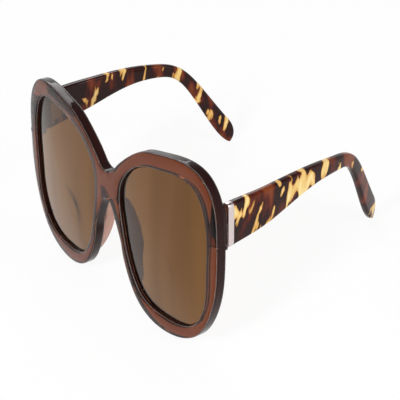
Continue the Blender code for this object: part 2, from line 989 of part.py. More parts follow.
def dress(obj, material):
    obj.data.materials.clear()
    obj.data.materials.append(material)
    obj.data.shade_smooth()
    obj.data.set_sharp_from_angle(angle=sharp_angle)


def new_empty(name, parent, location, collection):
    empty = bpy.data.objects.new(name, None)
    empty.empty_display_size = empty_size
    collection.objects.link(empty)
    empty.parent = parent
    empty.location = location
    return empty


def standing_lean(front_objects, temple_objects):
    # The angle that brings the rims' lowest line and the temple tips onto one level
    front_points = outline_of(front_objects)
    temple_points = outline_of(temple_objects)
    lean = 0
    for _ in range(lean_rounds):
        level = np.array([math.sin(lean), math.cos(lean)])
        rim = front_points[np.argmin(front_points @ level)]
        tip = temple_points[np.argmin(temple_points @ level)]
        lean = -math.atan2(tip[1] - rim[1], tip[0] - rim[0])
    return lean


def outline_of(objects):
    points = []
    for obj in objects:
        points.extend((vertex.co.y, vertex.co.z) for vertex in obj.data.vertices)
    return np.array(points)


def main():
    for obj in list(bpy.data.objects):
        bpy.data.objects.remove(obj, do_unlink=True)
    parts = bpy.data.collections.new("sunglasses")
    cutters = bpy.data.collections.new("cutters")
    bpy.context.scene.collection.children.link(parts)
    bpy.context.scene.collection.children.link(cutters)

    front = make_front(parts)
    shape_endpieces(front, cutters)
    fixed = {
        "lens": make_lens(parts),
        "nose_pad": make_pad(parts),
        "front_hinge": make_front_leaf(parts, cutters),
        "hinge_screw": make_screw(parts, cutters),
    }
    swinging = {
        "temple": make_temple(parts, cutters),
        "temple_hinge": make_temple_leaf(parts, cutters),
        "end_cap": make_cap(parts, cutters),
        "core_wire": make_core(parts),
    }
    bpy.context.view_layer.update()
    bake(front)
    for obj in list(fixed.values()) + list(swinging.values()):
        bake(obj)
    for cutter in list(cutters.objects):
        bpy.data.objects.remove(cutter, do_unlink=True)
    bpy.data.collections.remove(cutters)

    materials = {
        "front_frame": plastic("translucent brown plastic", (0.205, 0.092, 0.068), 0.12),
        "lens": plastic("brown tinted lens", (0.150, 0.085, 0.045), 0.05),
        "nose_pad": plastic("light brown plastic", (0.330, 0.190, 0.150), 0.25),
        "temple": plastic("tortoise acetate", (0.085, 0.035, 0.015), 0.12),
        "end_cap": plastic("bright cap metal", (0.600, 0.530, 0.520), 0.2, 1),
        "core_wire": plastic("core wire metal", (0.450, 0.450, 0.450), 0.35, 1),
        "hinge": plastic("hinge metal", (0.320, 0.310, 0.300), 0.3, 1),
    }
    glasses = new_empty("glasses", None, (0, 0, 0), parts)
    dress(front, materials["front_frame"])
    all_objects = [front]
    for side, sign in (("left", 1), ("right", -1)):
        axis = Vector((sign * hinge_x, hinge_y, hinge_height))
        new_empty("hinge_axis_" + side, glasses, axis, parts)
        for kind, left in list(fixed.items()) + list(swinging.items()):
            obj = left if sign == 1 else mirrored(left, kind + "_right", parts)
            obj.name = kind + "_" + side
            dress(obj, materials.get(kind, materials["hinge"]))
            all_objects.append(obj)
    temples = []
    for obj in all_objects:
        kind, _, side = obj.name.rpartition("_")
        if kind in swinging:
            temples.append(obj)
    lean = standing_lean([front], temples)
    low, high = box_after_lean(all_objects, lean)
    for obj in all_objects:
        kind, _, side = obj.name.rpartition("_")
        if kind in swinging:
            pivot = bpy.data.objects["hinge_axis_" + side]
            obj.data.transform(Matrix.Translation(-pivot.location))
            obj.parent = pivot
        else:
            obj.parent = glasses
    glasses.rotation_euler = (lean, 0, 0)
    glasses.location = -Vector(((low.x + high.x) / 2, (low.y + high.y) / 2, low.z))
    bpy.context.view_layer.update()
    print("lean in degrees", round(math.degrees(lean), 3))
    for side in ("left", "right"):
        pivot = bpy.data.objects["hinge_axis_" + side]
        print("hinge", side, tuple(round(value, 6) for value in pivot.matrix_world.translation))


def box_after_lean(objects, lean):
    turn = Matrix.Rotation(lean, 4, "X")
    points = [turn @ vertex.co for obj in objects for vertex in obj.data.vertices]
    low = Vector([min(point[i] for point in points) for i in range(3)])
    high = Vector([max(point[i] for point in points) for i in range(3)])
    return low, high


main()
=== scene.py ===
import json
import math

import bpy
import numpy as np
from mathutils import Matrix, Vector


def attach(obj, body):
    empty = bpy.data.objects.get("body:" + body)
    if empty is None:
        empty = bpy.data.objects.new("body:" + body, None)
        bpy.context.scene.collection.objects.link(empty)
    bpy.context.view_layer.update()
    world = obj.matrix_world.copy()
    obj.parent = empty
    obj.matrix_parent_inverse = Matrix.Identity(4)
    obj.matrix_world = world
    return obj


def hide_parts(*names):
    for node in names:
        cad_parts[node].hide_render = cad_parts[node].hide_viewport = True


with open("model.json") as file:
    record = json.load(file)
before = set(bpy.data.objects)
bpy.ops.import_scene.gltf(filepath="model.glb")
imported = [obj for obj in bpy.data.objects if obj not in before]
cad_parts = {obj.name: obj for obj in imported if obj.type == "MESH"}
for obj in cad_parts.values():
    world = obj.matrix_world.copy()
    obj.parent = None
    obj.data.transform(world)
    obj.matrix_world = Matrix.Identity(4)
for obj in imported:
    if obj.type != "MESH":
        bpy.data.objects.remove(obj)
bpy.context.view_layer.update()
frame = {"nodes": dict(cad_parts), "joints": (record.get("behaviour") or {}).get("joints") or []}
nodes = frame["nodes"]
scene = bpy.context.scene
sides = (("left", 1), ("right", -1))

# How near, in metres, points have to be to be welded, joined at the mirror or taken as the same;
# sameDigits says the last one in decimals, and overrun is how far a cutter runs past what it cuts
weldDistance = 0.000002
mirrorDistance = 0.00001
sameDistance = 0.000001
sameDigits = 6
overrun = 0.002


# Colours and nodes

def hexColour(text):
    # an sRGB hex value as the linear colour that a shader socket takes
    linear = []
    for i in (0, 2, 4):
        part = int(text[i:i + 2], 16) / 255
        linear.append(part / 12.92 if part <= 0.04045 else ((part + 0.055) / 1.055) ** 2.4)
    return (*linear, 1)


def addNode(tree, kind, settings=None, inputs=None, links=None):
    # one node with its settings, socket values and incoming links
    node = tree.nodes.new(kind)
    for name, value in (settings or {}).items():
        setattr(node, name, value)
    for socket, value in (inputs or {}).items():
        node.inputs[socket].default_value = value
    for socket, source in (links or {}).items():
        tree.links.new(source, node.inputs[socket])
    return node


def newMaterial(name, shaderValues):
    # a material with its node tree and its shader
    material = bpy.data.materials.new(name)
    material.use_nodes = True
    tree = material.node_tree
    shader = tree.nodes["Principled BSDF"]
    for socket, value in shaderValues.items():
        shader.inputs[socket].default_value = value
    return material, tree, shader


def setStops(ramp, stops):
    # the stops of a colour ramp, as places and hex colours
    ramp.elements[0].position, ramp.elements[0].color = stops[0][0], hexColour(stops[0][1])
    ramp.elements[1].position, ramp.elements[1].color = stops[-1][0], hexColour(stops[-1][1])
    for place, colour in stops[1:-1]:
        ramp.elements.new(place).color = hexColour(colour)


def letLampsThrough(tree, shader, colour):
    # a shadow ray passes the surface and takes its colour, so that lamps light what lies behind
    ray = addNode(tree, "ShaderNodeLightPath")
    clear = addNode(tree, "ShaderNodeBsdfTransparent", inputs={"Color": hexColour(colour)})
    mixed = addNode(tree, "ShaderNodeMixShader", links={
        0: ray.outputs["Is Shadow Ray"], 1: shader.outputs["BSDF"], 2: clear.outputs["BSDF"]})
    tree.links.new(mixed.outputs["Shader"], tree.nodes["Material Output"].inputs["Surface"])


def addNoise(tree, size, detail, lean=0, at=(0, 0, 0), distortion=0):
    # soft noise whose features have the given size in metres, leaning about the x axis
    place = addNode(tree, "ShaderNodeTexCoord")
    real = addNode(tree, "ShaderNodeMapping", {"vector_type": "TEXTURE"}, {
        "Location": at, "Rotation": (lean, 0, 0), "Scale": size}, {"Vector": place.outputs["Object"]})
    noise = addNode(tree, "ShaderNodeTexNoise", inputs={
        "Scale": 1, "Detail": detail, "Roughness": 0.45, "Distortion": distortion},
        links={"Vector": real.outputs["Vector"]})
    return noise.outputs["Fac"]


def addRamp(tree, source, stops):
    # the source as a colour
    ramp = addNode(tree, "ShaderNodeValToRGB", links={"Fac": source})
    setStops(ramp.color_ramp, stops)
    return ramp.outputs["Color"]


def spread(tree, source, low, high, least, most):
    # the source's range low to high as least to most, held at both ends
    return addNode(tree, "ShaderNodeMapRange", inputs={
        "From Min": low, "From Max": high, "To Min": least, "To Max": most},
        links={"Value": source}).outputs["Result"]


def blend(tree, kind, share, first, second):
    # two colours mixed, by a number or by another node's output
    node = addNode(tree, "ShaderNodeMix", {"data_type": "RGBA", "blend_type": kind}, links={
        6: first, 7: second})
    if isinstance(share, (int, float)):
        node.inputs[0].default_value = share
    else:
        tree.links.new(share, node.inputs[0])
    return node.outputs[2]


def facing(tree, direction):
    # 1 on a surface that looks along the direction or against it, 0 on one at its side
    place = addNode(tree, "ShaderNodeTexCoord")
    along = addNode(tree, "ShaderNodeVectorMath", {"operation": "DOT_PRODUCT"}, {1: direction},
                    {0: place.outputs["Normal"]})
    return addNode(tree, "ShaderNodeMath", {"operation": "ABSOLUTE"}, links={
        0: along.outputs["Value"]}).outputs[0]


def fillWith(tree, colour, density):
    # colour that deepens with the way that light goes through the piece
    volume = addNode(tree, "ShaderNodeVolumeAbsorption", inputs={
        "Color": hexColour(colour), "Density": density})
    tree.links.new(volume.outputs["Volume"], tree.nodes["Material Output"].inputs["Volume"])


def dress(obj, material):
    # gives a piece its one material
    obj.data.materials.clear()
    obj.data.materials.append(material)


# Mesh work

def editAll(obj, mode="VERT"):
    # goes into edit mode with everything selected
    bpy.ops.object.select_all(action="DESELECT")
    obj.select_set(True)
    bpy.context.view_layer.objects.active = obj
    bpy.ops.object.mode_set(mode="EDIT")
    bpy.ops.mesh.select_mode(type=mode)
    bpy.ops.mesh.select_all(action="SELECT")


def weld(obj):
    # makes one point of those that lie on each other
    editAll(obj)
    bpy.ops.mesh.remove_doubles(threshold=weldDistance)
    bpy.ops.object.mode_set(mode="OBJECT")


def faceOut(obj):
    # turns every face outwards
    editAll(obj)
    bpy.ops.mesh.normals_make_consistent(inside=False)
    bpy.ops.object.mode_set(mode="OBJECT")


def bentGrid(name, around, along, spot):
    # a grid whose two directions run round and along a form; spot says where each point goes
    bpy.ops.object.select_all(action="DESELECT")
    bpy.ops.mesh.primitive_grid_add(x_subdivisions=around, y_subdivisions=along, size=1)
    obj = bpy.context.object
    obj.name = name
    for vertex in obj.data.vertices:
        vertex.co = spot(vertex.co.x + 0.5, vertex.co.y + 0.5)
    weld(obj)
    return obj


def closeEnds(obj):
    # fills what is open
    editAll(obj)
    bpy.ops.mesh.select_all(action="DESELECT")
    bpy.ops.mesh.select_non_manifold()
    bpy.ops.mesh.edge_face_add()
    bpy.ops.object.mode_set(mode="OBJECT")
    faceOut(obj)


def bevelEdges(obj, test, width, steps):
    # rounds the edges whose two ends both pass the test
    editAll(obj, "EDGE")
    bpy.ops.mesh.select_all(action="DESELECT")
    bpy.ops.object.mode_set(mode="OBJECT")
    points = obj.data.vertices
    for edge in obj.data.edges:
        edge.select = all(test(points[i].co) for i in edge.vertices)
    bpy.ops.object.mode_set(mode="EDIT")
    bpy.ops.mesh.bevel(offset=width, segments=steps, affect="EDGES")
    bpy.ops.object.mode_set(mode="OBJECT")


def applyModifier(obj, kind, **settings):
    # adds a modifier and makes its result the mesh
    bpy.ops.object.select_all(action="DESELECT")
    obj.select_set(True)
    bpy.context.view_layer.objects.active = obj
    modifier = obj.modifiers.new(kind.lower(), kind)
    for name, value in settings.items():
        setattr(modifier, name, value)
    bpy.ops.object.modifier_apply(modifier=modifier.name)


def addBox(name, low, high):
    # a box between two corners, as a block to join or a cutter
    bpy.ops.object.select_all(action="DESELECT")
    low, high = Vector(low), Vector(high)
    bpy.ops.mesh.primitive_cube_add(size=1, location=(low + high) / 2)
    obj = bpy.context.object
    obj.name = name
    obj.scale = high - low
    bpy.ops.object.transform_apply(location=True, rotation=True, scale=True)
    return obj


def combine(obj, tool, operation="DIFFERENCE"):
    # cuts the tool away or joins it, and uses it up
    applyModifier(obj, "BOOLEAN", object=tool, operation=operation, solver="EXACT")
    bpy.data.objects.remove(tool, do_unlink=True)


def finishPiece(obj, body, replaced, material, degrees=35):
    # smooth faces up to an angle, the material, and the piece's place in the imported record
    bpy.ops.object.select_all(action="DESELECT")
    obj.select_set(True)
    bpy.context.view_layer.objects.active = obj
    bpy.ops.object.shade_smooth_by_angle(angle=math.radians(degrees))
    dress(obj, material)
    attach(obj, body)
    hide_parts(*replaced)


def copyMesh(obj, name):
    other = obj.copy()
    other.data = obj.data.copy()
    other.name = name
    scene.collection.objects.link(other)
    return other


def mirrorCopy(obj, name):
    # the wearer's right piece from the left one
    other = copyMesh(obj, name)
    other.data.transform(Matrix.Scale(-1, 4, (1, 0, 0)))
    faceOut(other)
    return other


def smoothCurve(knots, points, places, closed=False):
    # points on a curve with one steady bend through the given ones
    knots = np.array(knots, float)
    points = np.array(points, float)
    points = points.reshape(len(points), -1)
    count = len(points)
    gaps = np.diff(knots)
    matrix = np.zeros((count, count))
    target = np.zeros(points.shape)
    for i in range(count):
        last, following = (i - 1) % count, (i + 1) % count
        if closed or 0 < i < count - 1:
            before, after = 1 / gaps[i - 1], 1 / gaps[i % len(gaps)]
            matrix[i, last] += before
            matrix[i, i] += 2 * (before + after)
            matrix[i, following] += after
            target[i] = 3 * (points[i] - points[last]) * before ** 2
            target[i] += 3 * (points[following] - points[i]) * after ** 2
        else:
            # an open curve runs straight at its ends
            near = 1 if i == 0 else count - 2
            matrix[i, i], matrix[i, near] = 2, 1
            target[i] = 3 * (points[max(i, near)] - points[min(i, near)]) / gaps[min(i, near)]
    slopes = np.linalg.solve(matrix, target)
    places = np.atleast_1d(np.array(places, float))
    if closed:
        places = knots[0] + (places - knots[0]) % (knots[-1] - knots[0])
    i = np.clip(np.searchsorted(knots, places, side="right") - 1, 0, len(gaps) - 1)
    j = (i + 1) % count
    t = ((places - knots[i]) / gaps[i])[:, None]
    ends = (1 + 2 * t) * (1 - t) ** 2 * points[i] + t * t * (3 - 2 * t) * points[j]
    bend = t * (1 - t) ** 2 * slopes[i] - t * t * (1 - t) * slopes[j]
    return ends + gaps[i][:, None] * bend


def ease(value):
    # 0 to 1 with a soft start and end, held outside
    value = min(max(value, 0), 1)
    return value * value * (3 - 2 * value)


# The front's measures in metres, in its own upright frame: x sideways, y backwards, z up.
# Its opening runs from the nasal top corner over the brow and round, as shares of its half size.
# Places round the rim count these points from 0 until the round closes at 12. The rim widths are
# for places 1 to 10. The outer edge's own points lie at the bridge, before place 4 and before 12.
front = {
    "halfWidth": 0.0705,
    "openingHalf": (0.02735, 0.0328),
    "openingCentre": 0.03735,
    "openingShares": (
        (-0.985, 0.485), (-0.577, 0.868), (-0.015, 1.0), (0.71, 0.985), (0.99, 0.48), (0.985, 0),
        (0.95, -0.447), (0.635, -0.88), (0, -0.99), (-0.56, -0.86), (-0.86, -0.4), (-0.97, 0),
    ),
    "rimWidths": (0.0054, 0.0067, 0.008, None, 0.0062, 0.0046, 0.0048, 0.0068, 0.0047, 0.0036),
    "bridgePlaces": (0, 0.16, 0.5),
    "bridgeTop": ((0, 0.019), (0.003, 0.0197), (0.0079, 0.0243)),
    "cornerBefore": 0.45,
    "corner": (0.069, 0.0285),
    "sideRise": 0.002,
    "archBefore": (0.88, 0.72, 0.62),
    "arch": ((0.0052, 0.0006), (0.0022, 0.0057), (0, 0.0065)),
    "thickness": 0.0051,
    "wrapRadius": 0.57,
    "uprightRadius": 1.43,
    "innerRound": 0.001,
    "faceRound": 0.0007,
    "backRound": 0.0013,
    "innerSteps": 4,
    "faceSteps": 3,
    "backSteps": 5,
    "grooveDepth": 0.0009,
    "grooveHalf": 0.0009,
    "grooveFromFace": 0.0024,
    "directionStep": 0.04,
    "edgeStations": 190,
    "mirrorStations": 12,
}
hinge = {"x": 0.0645, "y": 0.0120984, "z": 0.0199, "seat": 0.0100984, "barrelHalf": 0.00485}
spans = len(front["openingShares"])
archPlace = spans - front["archBefore"][-1]

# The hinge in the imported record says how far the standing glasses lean, and where they are
leftHinge = next(joint for joint in frame["joints"] if joint["name"] == "left_temple_fold")
lean = -math.atan2(leftHinge["axis"][1], leftHinge["axis"][2])
standing = (
    Matrix.Translation(Vector(leftHinge["pos_m"]))
    @ Matrix.Rotation(lean, 4, "X")
    @ Matrix.Translation(-Vector((hinge["x"], hinge["y"], hinge["z"])))
)


def stand(obj):
    # from the front's own upright frame to the standing pose
    obj.data.transform(standing)


def frontDepth(x, z):
    # how far the front's curve lies behind its middle
    return x * x / (2 * front["wrapRadius"]) + z * z / (2 * front["uprightRadius"])


def openingAt(places):
    # points on the edge of the left lens's opening
    points = np.array(front["openingShares"]) * front["openingHalf"]
    points = points + (front["openingCentre"], 0)
    return smoothCurve(range(spans + 1), points, places, closed=True)


def awayFromOpening(places):
    # the direction square to the opening's edge, into the rim
    places = np.atleast_1d(np.array(places, float))
    along = openingAt(places + front["directionStep"]) - openingAt(places - front["directionStep"])
    along /= np.linalg.norm(along, axis=1)[:, None]
    return np.column_stack([-along[:, 1], along[:, 0]])


def outlineAt(places):
    # half of the front's outer edge, from the bridge's top round to the nose arch
    numbers = range(1, len(front["rimWidths"]) + 1)
    opening, away = openingAt(numbers), awayFromOpening(numbers)
    knots = list(front["bridgePlaces"])
    points = list(front["bridgeTop"])
    for number, width, point, direction in zip(numbers, front["rimWidths"], opening, away):
        if width is None:
            knots += [number - front["cornerBefore"], number]
            points += [front["corner"], (front["halfWidth"], point[1] + front["sideRise"])]
        else:
            knots.append(number)
            points.append(tuple(point + direction * width))
    knots += [spans - gap for gap in front["archBefore"]]
    points += list(front["arch"])
    knots, points = np.array(knots), np.array(points)
    # the points next to the mirror plane are repeated beyond it, so that the halves meet smoothly
    before = points[1:4][::-1] * (-1, 1)
    after = points[-4:-1][::-1] * (-1, 1)
    allKnots = np.concatenate([-knots[1:4][::-1], knots, 2 * knots[-1] - knots[-4:-1][::-1]])
    return smoothCurve(allKnots, np.vstack([before, points, after]), places)


print("materials")

throughFront = standing.to_3x3() @ Vector((0, 1, 0))

# cellulose acetate, tumbled to a wet gloss: clear red-brown that goes near black where it is deep
frontPlastic, tree, shader = newMaterial("tumbled_clear_brown_acetate", {
    "IOR": 1.48,
    "Specular Tint": hexColour("606060"),
})
# the pigment lies in soft clouds 25 mm across; the sawn side walls, which face across the front, are
# painted dark as shade and let little through
clouds = addRamp(tree, addNoise(tree, (0.025, 0.025, 0.025), 2), (
    (0.35, "f2dccf"), (0.65, "fff8f2")))
acrossFront = facing(tree, throughFront)
# painted shade: walls facing across the front get a dark base colour and less transmission
sidesPaintedDark = addRamp(tree, acrossFront, ((0.3, "3a2424"), (0.8, "ffffff")))
tree.links.new(blend(tree, "MULTIPLY", 1, clouds, sidesPaintedDark), shader.inputs["Base Color"])
tree.links.new(spread(tree, acrossFront, 0.3, 0.8, 0.5, 1), shader.inputs["Transmission Weight"])
# handling leaves the gloss a little uneven, in smears 4 mm across
smears = addNoise(tree, (0.004, 0.004, 0.004), 3)
tree.links.new(spread(tree, smears, 0.4, 0.7, 0.03, 0.09), shader.inputs["Roughness"])
fillWith(tree, "cd9536", 700)
letLampsThrough(tree, shader, "a87464")

# dyed CR-39 resin, hard-coated against glare: dark amber glass with a faint mirror
lensTint, tree, shader = newMaterial("dyed_resin_lens", {
    "Roughness": 0.01,
    "IOR": 1.5,
    "Specular Tint": hexColour("404040"),
    "Transmission Weight": 1,
})
# the dye bath leaves upright streaks about 9 mm wide; the ground edge is painted nearly black, as
# painted shade from the groove
streaks = addNoise(tree, (0.009, 0.06, 0.09), 1)
dye = addRamp(tree, streaks, ((0.36, "6e4a25"), (0.64, "7a542b")))
# painted shade: the lens edge, facing across the front, goes nearly black
edges = addRamp(tree, facing(tree, throughFront), ((0.8, "1c120c"), (0.93, "ffffff")))
tree.links.new(blend(tree, "MULTIPLY", 1, dye, edges), shader.inputs["Base Color"])
letLampsThrough(tree, shader, "a07a50")

# the front's acetate in thin fins, filed to shape: paler, because there is less of it, and duller
padPlastic, tree, shader = newMaterial("filed_clear_brown_acetate", {
    "IOR": 1.48,
    "Specular Tint": hexColour("606060"),
    "Transmission Weight": 0.7,
})
# the pigment clouds are 12 mm across; file strokes run along the fins, 1 mm apart
clouds = addRamp(tree, addNoise(tree, (0.012, 0.012, 0.012), 2), (
    (0.3, "c49a8a"), (0.7, "dab4a4")))
tree.links.new(clouds, shader.inputs["Base Color"])
strokes = addNoise(tree, (0.001, 0.003, 0.008), 2)
tree.links.new(spread(tree, strokes, 0.35, 0.65, 0.08, 0.15), shader.inputs["Roughness"])
fillWith(tree, "c98a68", 220)
letLampsThrough(tree, shader, "c09488")

# block acetate, worn to a soft gloss: near-black brown with red-brown flames and honey patches
tortoise, tree, shader = newMaterial("tortoise_block_acetate", {
    "IOR": 1.49,
    "Specular IOR Level": 0.2,
})
# flames are 7 mm wide and twice as tall, and lean backwards
flames = addRamp(tree, addNoise(tree, (0.03, 0.007, 0.016), 2, math.radians(-20)), (
    (0.45, "26110e"), (0.52, "2e110d"), (0.58, "561f11"), (0.7, "7c3b18")))
# honey patches are 4 mm wide and three times as tall, lean further, and go amber at their rims
waver = addNoise(tree, (0.02, 0.0042, 0.0125), 1.8, math.radians(-30), (0.004, 0.009, 0), 0.4)
honey = addRamp(tree, waver, (
    (0.565, "743813"), (0.588, "cc994e"), (0.635, "e6c278"), (0.72, "f0d898")))
patches = spread(tree, waver, 0.565, 0.577, 0, 1)
tree.links.new(blend(tree, "MIX", patches, flames, honey), shader.inputs["Base Color"])
# the gloss is uneven in smears 5 mm across
smears = addNoise(tree, (0.005, 0.005, 0.005), 3)
tree.links.new(spread(tree, smears, 0.4, 0.7, 0.05, 0.11), shader.inputs["Roughness"])

# zinc casting with a bright pinkish plating, drawn over a belt: fine strokes along its length
capMetal, tree, shader = newMaterial("plated_zinc_cap", {
    "Base Color": hexColour("dacdcb"),
    "Metallic": 1,
})
strokes = addNoise(tree, (0.0004, 0.0004, 0.006), 2)
tree.links.new(spread(tree, strokes, 0.35, 0.65, 0.2, 0.36), shader.inputs["Roughness"])

# nickel silver, stamped and barrel-polished: a soft shine with dull spots half a millimetre across
hingeMetal, tree, shader = newMaterial("polished_nickel_silver", {
    "Base Color": hexColour("b3ada6"),
    "Metallic": 1,
})
spots = addNoise(tree, (0.0005, 0.0005, 0.0005), 3)
tree.links.new(spread(tree, spots, 0.35, 0.65, 0.18, 0.34), shader.inputs["Roughness"])

print("front")

# matching points on the opening and on the outer edge, for the wearer's left half;
# between the arch and the bridge's top the outer ones lie on the mirror plane
edgePlaces = np.linspace(0, archPlace, front["edgeStations"])
mirrorPlaces = np.linspace(archPlace, spans, front["mirrorStations"])[1:-1]
ringPlaces = np.concatenate([edgePlaces, mirrorPlaces])
innerRing, ringAway = openingAt(ringPlaces), awayFromOpening(ringPlaces)
outerRing = outlineAt(edgePlaces)
outerRing[0][0] = outerRing[-1][0] = 0
archTop, bridgeTop = outerRing[-1][1], outerRing[0][1]
upShares = np.linspace(0, 1, front["mirrorStations"])[1:-1]
onMirror = np.column_stack([np.zeros(len(upShares)), archTop + (bridgeTop - archTop) * upShares])
outerRing = np.vstack([outerRing, onMirror])
stations = len(ringPlaces)


def ringSpot(u, v):
    i = round(u * stations) % stations
    point = innerRing[i] + (outerRing[i] - innerRing[i]) * v
    return Vector((point[0], 0, point[1]))


def ringKey(x, z):
    # one key for a point and its mirror image
    return (round(abs(x), sameDigits), round(z, sameDigits))


def onRing(points, depth):
    # a test for vertices that lie on one of the rings at one depth
    keys = {ringKey(x, z) for x, z in points}

    def test(point):
        return abs(point.y - depth) < sameDistance and ringKey(point.x, point.z) in keys
    return test


frontPiece = bentGrid("acetate_front", stations, 2, ringSpot)
applyModifier(frontPiece, "MIRROR", use_axis=(True, False, False), merge_threshold=mirrorDistance)
grooveNear = front["grooveFromFace"] - front["grooveHalf"]
grooveFar = front["grooveFromFace"] + front["grooveHalf"]
depths = (0, grooveNear, front["grooveFromFace"], grooveFar, front["thickness"])
editAll(frontPiece, "FACE")
for near, far in zip(depths, depths[1:]):
    bpy.ops.mesh.extrude_region_move(TRANSFORM_OT_translate={"value": (0, far - near, 0)})
bpy.ops.object.mode_set(mode="OBJECT")
faceOut(frontPiece)

# the lens groove: the opening's middle loop goes outwards
inGroove = onRing(innerRing, front["grooveFromFace"])
ways = {ringKey(x, z): way for (x, z), way in zip(innerRing, ringAway)}
for vertex in frontPiece.data.vertices:
    if inGroove(vertex.co):
        way = ways[ringKey(vertex.co.x, vertex.co.z)]
        vertex.co.x += math.copysign(1, vertex.co.x) * way[0] * front["grooveDepth"]
        vertex.co.z += way[1] * front["grooveDepth"]

bevelEdges(frontPiece, onRing(innerRing, 0), front["innerRound"], front["innerSteps"])
bevelEdges(frontPiece, onRing(innerRing, front["thickness"]), front["innerRound"], front["innerSteps"])
bevelEdges(frontPiece, onRing(outerRing, 0), front["faceRound"], front["faceSteps"])
bevelEdges(frontPiece, onRing(outerRing, front["thickness"]), front["backRound"], front["backSteps"])
for vertex in frontPiece.data.vertices:
    vertex.co.y += frontDepth(vertex.co.x, vertex.co.z)

# the endpiece blocks follow the outer edge, a little inside it, and carry the hinge leaves
block = {"inner": 0.064, "outer": 0.0704, "start": 0.006, "half": 0.00915, "inset": 0.0001,
         "cuts": 8, "edge": 0.0005, "edgeSteps": 3,
         "leafX": 0.0669, "leafHalf": 0.0021, "leafReach": 0.00515, "leafDepth": 0.0013}
sidePlaces = {"from": 3, "to": 6, "count": 200}
sideEdge = outlineAt(np.linspace(sidePlaces["from"], sidePlaces["to"], sidePlaces["count"]))
seatLow, seatHigh = hinge["z"] - block["half"], hinge["z"] + block["half"]


def blockEdgeAt(z):
    # how far out the block reaches at a height
    return float(np.interp(z, sideEdge[::-1, 1], sideEdge[::-1, 0])) - block["inset"]


def onSeatRim(point):
    # a test for the rim of the block's back, but for the side that joins the front
    atEnd = min(abs(point.z - seatLow), abs(point.z - seatHigh)) < sameDistance
    atSide = abs(point.x - blockEdgeAt(point.z)) < sameDistance
    return abs(point.y - hinge["seat"]) < sameDistance and (atEnd or atSide)


for side, sign in sides:
    seat = addBox("seat", (block["inner"], block["start"], seatLow),
                  (block["outer"], hinge["seat"], seatHigh))
    editAll(seat)
    bpy.ops.mesh.subdivide(number_cuts=block["cuts"])
    bpy.ops.object.mode_set(mode="OBJECT")
    for vertex in seat.data.vertices:
        share = (vertex.co.x - block["inner"]) / (block["outer"] - block["inner"])
        edgeAt = blockEdgeAt(vertex.co.z)
        vertex.co.x = block["inner"] + (edgeAt - block["inner"]) * share
    bevelEdges(seat, onSeatRim, block["edge"], block["edgeSteps"])
    if sign < 0:
        seat.data.transform(Matrix.Scale(-1, 4, (1, 0, 0)))
    faceOut(seat)
    combine(frontPiece, seat, "UNION")
    leafEnds = sorted(sign * (block["leafX"] + reach * block["leafHalf"]) for reach in (-1, 1))
    combine(frontPiece, addBox(
        "recess",
        (leafEnds[0], hinge["seat"] - block["leafDepth"], hinge["z"] - block["leafReach"]),
        (leafEnds[1], hinge["seat"] + overrun, hinge["z"] + block["leafReach"])))
stand(frontPiece)
finishPiece(frontPiece, "front", ["front_frame"], frontPlastic)

print("lenses")
# rimAt is where the face ends, as a share of the way from its middle to the back's middle
lens = {"halfEdge": 0.00085, "bulge": 0.0018, "centreExtra": 0.0003, "inset": 0.00035,
        "apex": 0.0005, "steps": 180, "rings": 50, "rimAt": 0.48,
        "zoneDrop": 0.0125, "zoneIn": 0.002, "zoneRadius": 0.012, "zoneHeight": 0.0003}
lensPlaces = np.linspace(0, spans, lens["steps"], endpoint=False)
lensEdge, lensAway = openingAt(lensPlaces), awayFromOpening(lensPlaces)
lensRim = lensEdge - lensAway * lens["inset"]
lensApex = lensEdge + lensAway * lens["apex"]
lensCentre = np.array([front["openingCentre"], 0])
zoneCentre = lensCentre - (lens["zoneIn"], lens["zoneDrop"])


def lensSpot(u, v):
    # from the middle of the face over the rim to the middle of the back
    i = round(u * lens["steps"]) % lens["steps"]
    if 2 * round(v * lens["rings"]) == lens["rings"]:
        # the ground edge's ridge sits in the groove
        x, z = lensApex[i]
        return Vector((x, frontDepth(x, z) + front["grooveFromFace"], z))
    share = math.sin(min(v, 1 - v) / lens["rimAt"] * math.pi / 2)
    x, z = lensCentre + (lensRim[i] - lensCentre) * min(share, 1)
    crown = 1 - min(share, 1) ** 2
    depth = front["grooveFromFace"] - lens["bulge"] * crown
    if v < 0.5:
        depth -= lens["halfEdge"]
    else:
        # the back carries the blended reading zone
        gap = math.hypot(x - zoneCentre[0], z - zoneCentre[1]) / lens["zoneRadius"]
        depth += lens["halfEdge"] + lens["centreExtra"] * crown
        depth += lens["zoneHeight"] * ease(2 * (1 - gap))
    return Vector((x, frontDepth(x, z) + depth, z))


lensPiece = bentGrid("lens_of_left_eye", lens["steps"], lens["rings"], lensSpot)
faceOut(lensPiece)
stand(lensPiece)
for side, piece in (("left", lensPiece), ("right", mirrorCopy(lensPiece, "lens_of_right_eye"))):
    finishPiece(piece, "front", ["lens_" + side], lensTint)

print("nose pads")
# start and end are shares of the way round the opening; waist and shoulder are shares of the height
pad = {"start": 0.968, "end": 0.765, "along": 30, "around": 7, "rise": 0.0066, "riseCurve": 0.55,
       "lean": 0.0016, "crest": 0.0011, "crestWidth": 0.71, "waist": 0.5, "shoulder": 0.86,
       "inset": 0.0005, "widest": 0.0068, "gap": 0.00005, "smoothDegrees": 60}


